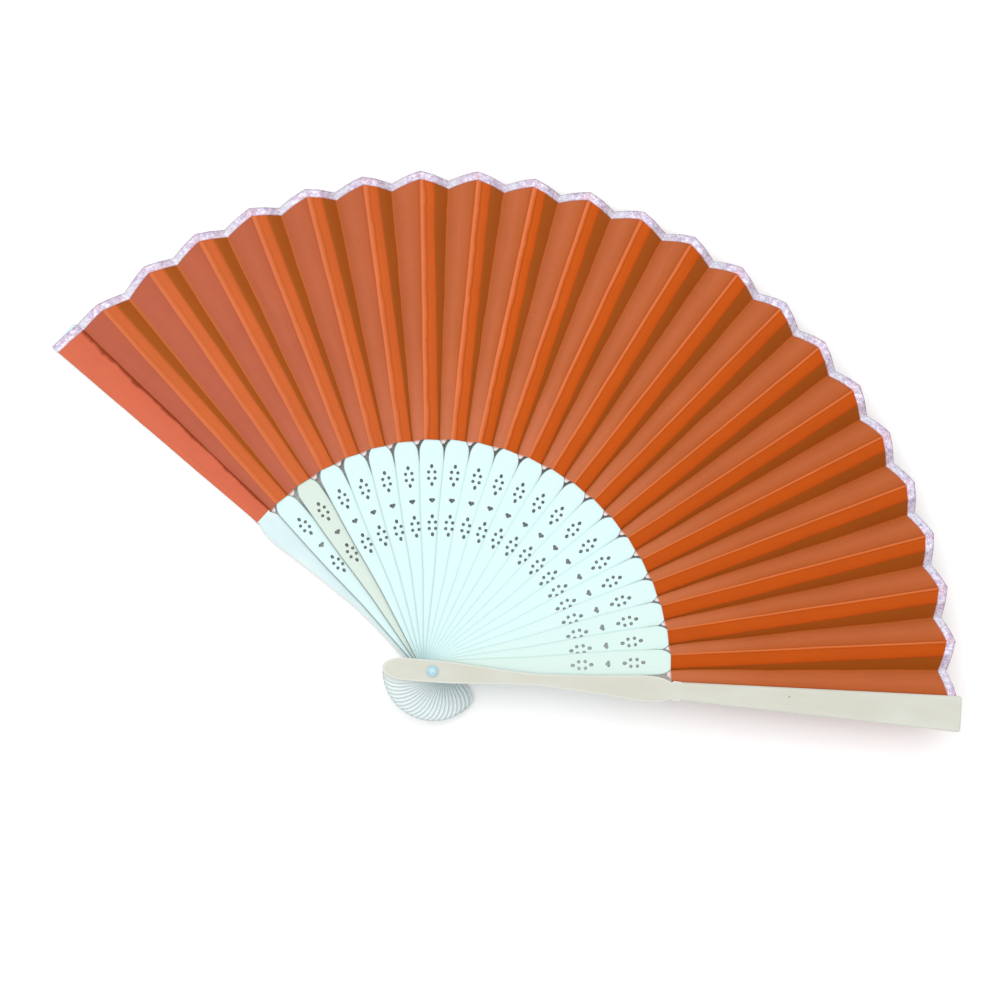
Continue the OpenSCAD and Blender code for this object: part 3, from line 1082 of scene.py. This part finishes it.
def makeGuardPaint(name, angle, color, shade, streaks, speck):
    mat, tree, bsdf = newMaterial(name)
    n = NodeMaker(tree)
    where, wall = alongStick(n, angle)
    grain = placeGroup(n, woodGrain, Along_Stick=where, Seed=streaks * 90, Streaks=streaks)
    edge = placeGroup(n, guardEdge, Along_Stick=where)["Edge"]
    light = guardFinish["light"]
    cloud = n.mul(n.stretch(grain["Cloud"], 0.35, 0.7), 0.5)
    base = n.mixColor(cloud, dimmed(color, light), dimmed(shade, light))
    base = scaled(n, base, grain["Shade"])
    # the sloped edges carry a painted highlight, and a painted shade darkens the cut side where it
    # meets the face
    edgeHighlight = n.sub(1.0, n.stretch(edge, 0.35, 0.7))
    base = n.mixColor(n.mul(edgeHighlight, 0.6), base, dimmed(guardFinish["frontPaleAndHighlight"], light))
    base = n.mixColor(n.mul(wall, 0.55), base, dimmed(guardFinish["wallShadeColor"], light))
    if speck:
        x, y, z = n.split(where)
        dx, dy = n.sub(x, guardFinish["speckAt"][0]), n.sub(y, guardFinish["speckAt"][1])
        away = n.math("SQRT", n.add(n.mul(dx, dx, 0.4), n.mul(dy, dy)))
        spot = n.sub(1.0, n.stretch(away, *guardFinish["speckSize"]))
        base = n.mixColor(n.mul(spot, 0.8), base, dimmed(guardFinish["speckColor"], light))
    tree.links.new(base, bsdf.inputs["Base Color"])
    tree.links.new(n.blend(0.34, 0.5, grain["Cloud"]), bsdf.inputs["Roughness"])
    bsdf.inputs["Coat Weight"].default_value = 0.15
    bsdf.inputs["Coat Roughness"].default_value = 0.3
    bump(n, bsdf, grain["Height"], 0.00005, 0.6)
    return mat


rivetFinish = {
    "pearlDark": (148, 192, 206),
    "pearlPale": (184, 218, 226),
    "pearlRimSheen": (190, 210, 222),
    "steelDark": (0.46, 0.46, 0.47, 1),
    "steelPale": (0.62, 0.62, 0.63, 1),
}


def makeRivetPearl():
    mat, tree, bsdf = newMaterial("rivetPearl")
    n = NodeMaker(tree)
    coords = n.put("ShaderNodeTexCoord").outputs["Object"]
    cloud = n.noise(coords, 900.0, 3.0)
    # painted sheen: paler towards the rim of the cap, where it turns away from the view
    rimSheen = n.put("ShaderNodeLayerWeight").outputs["Facing"]
    dark, pale = linear(rivetFinish["pearlDark"]), linear(rivetFinish["pearlPale"])
    color = n.mixColor(cloud, dark, pale)
    color = n.mixColor(n.mul(rimSheen, 0.4), color, linear(rivetFinish["pearlRimSheen"]))
    tree.links.new(color, bsdf.inputs["Base Color"])
    tree.links.new(n.blend(0.2, 0.3, cloud), bsdf.inputs["Roughness"])
    bsdf.inputs["Coat Weight"].default_value = 0.6
    bsdf.inputs["Coat Roughness"].default_value = 0.08
    bump(n, bsdf, cloud, 0.00002, 0.4)
    return mat


def makeRivetSteel():
    mat, tree, bsdf = newMaterial("rivetSteel")
    n = NodeMaker(tree)
    coords = n.put("ShaderNodeTexCoord").outputs["Object"]
    x, y, z = n.split(coords)
    reach = n.away(x, y)
    rings = n.noise(n.vector(n.mul(reach, 9000.0), n.mul(z, 4000.0), 0.0), 1.0, 3.0)
    color = n.mixColor(rings, rivetFinish["steelDark"], rivetFinish["steelPale"])
    tree.links.new(color, bsdf.inputs["Base Color"])
    bsdf.inputs["Metallic"].default_value = 1.0
    tree.links.new(n.blend(0.24, 0.42, rings), bsdf.inputs["Roughness"])
    bump(n, bsdf, rings, 0.00002, 0.4)
    return mat


def paintNode(name, mat):
    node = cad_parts[name]
    if not node.material_slots:
        node.data.materials.append(mat)
    for slot in node.material_slots:
        slot.material = mat


def paintSticks():
    for k in range(1, sticks["ribs"] + 1):
        paintNode(f"rib_{k:02d}", makeRibPaint(k))
    color, shade = guardFinish["backColor"], guardFinish["backShade"]
    back = makeGuardPaint("backGuardPaint", stickAngle(0), color, shade, 0.03, False)
    color, shade = guardFinish["frontColor"], guardFinish["frontPaleAndHighlight"]
    angle = stickAngle(sticks["ribs"] + 1)
    front = makeGuardPaint("frontGuardPaint", angle, color, shade, 0.05, True)
    paintNode("back_guard", back)
    paintNode("front_guard", front)
    steel = makeRivetSteel()
    paintNode("rivet_pin", steel)
    paintNode("rear_washer", steel)
    paintNode("rivet_cap", makeRivetPearl())


paintSticks()
print("sticks painted")
